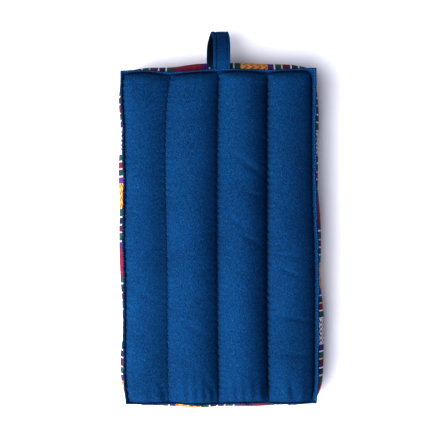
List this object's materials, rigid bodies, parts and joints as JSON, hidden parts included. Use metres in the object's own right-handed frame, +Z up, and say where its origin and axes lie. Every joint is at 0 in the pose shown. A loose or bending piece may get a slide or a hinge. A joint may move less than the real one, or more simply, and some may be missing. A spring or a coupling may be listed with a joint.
{
  "type": "flat oblong zafu cushion",
  "caption": "Long flat box-edged meditation cushion in blue twill, sewn into lengthwise channels, with pinched rims, a striped woven side band and a strap loop.",
  "frame": {"origin": "on the floor under the middle of the whole part's box, strap loop included", "axes": "+Y along the cushion's length towards the strap loop, +Z up through the top face, +X to the right as the picture shows it"},
  "size_m": [0.2219, 0.3993, 0.0639],
  "materials": {
    "blue_twill": "matt plain-dyed cotton twill",
    "striped_weave": "matt handwoven cloth in many-coloured stripes",
    "blue_strap": "matt folded twill strap, edge-stitched"
  },
  "bodies": {
    "root": {"cushion": "blue_twill", "side_band": "striped_weave", "handle_loop": "blue_strap"}
  },
  "joints": []
}
